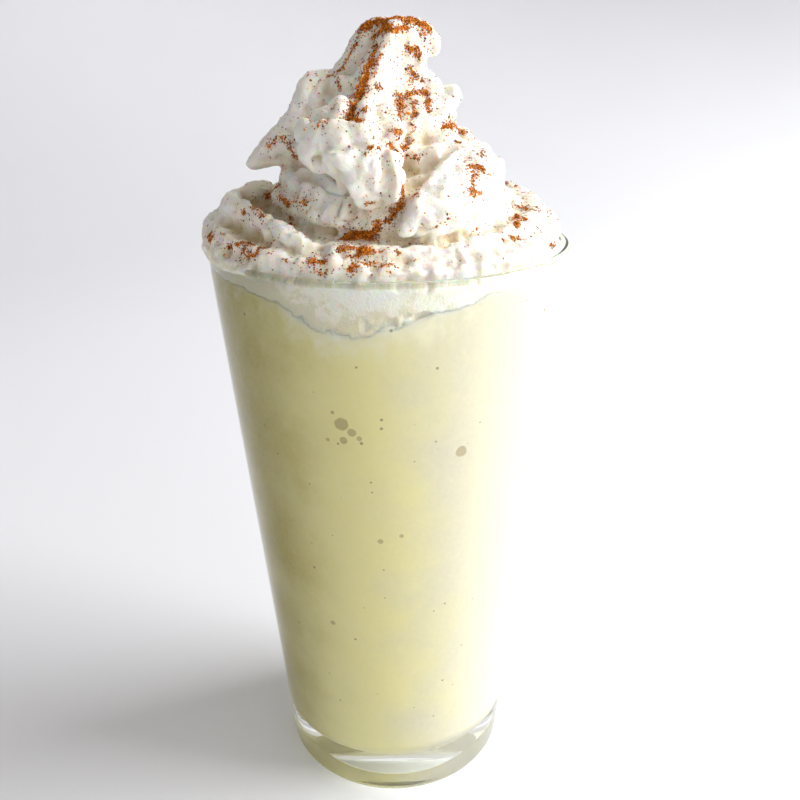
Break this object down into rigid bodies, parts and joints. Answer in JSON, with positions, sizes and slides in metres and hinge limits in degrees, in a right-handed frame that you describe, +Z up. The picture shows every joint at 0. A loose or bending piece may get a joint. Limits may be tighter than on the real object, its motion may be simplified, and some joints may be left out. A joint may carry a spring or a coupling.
{
  "type": "milkshake",
  "caption": "Pale yellow-green milkshake in a tall conical glass, heaped with a swirl of whipped cream dusted with cinnamon.",
  "frame": {"origin": "on the glass's axis, level with the flat ring under its foot that it stands on", "axes": "+Z up along the glass's axis, -Y towards the side the picture shows, +X to that side's right"},
  "size_m": [0.0891, 0.088, 0.1998],
  "materials": {
    "glass": "clear, polished",
    "milkshake": "smooth, creamy liquid",
    "whipped_cream": "soft whipped cream with specks of ground cinnamon"
  },
  "bodies": {
    "root": {"glass": "glass", "milkshake": "milkshake", "whipped_cream": "whipped_cream"}
  },
  "joints": []
}
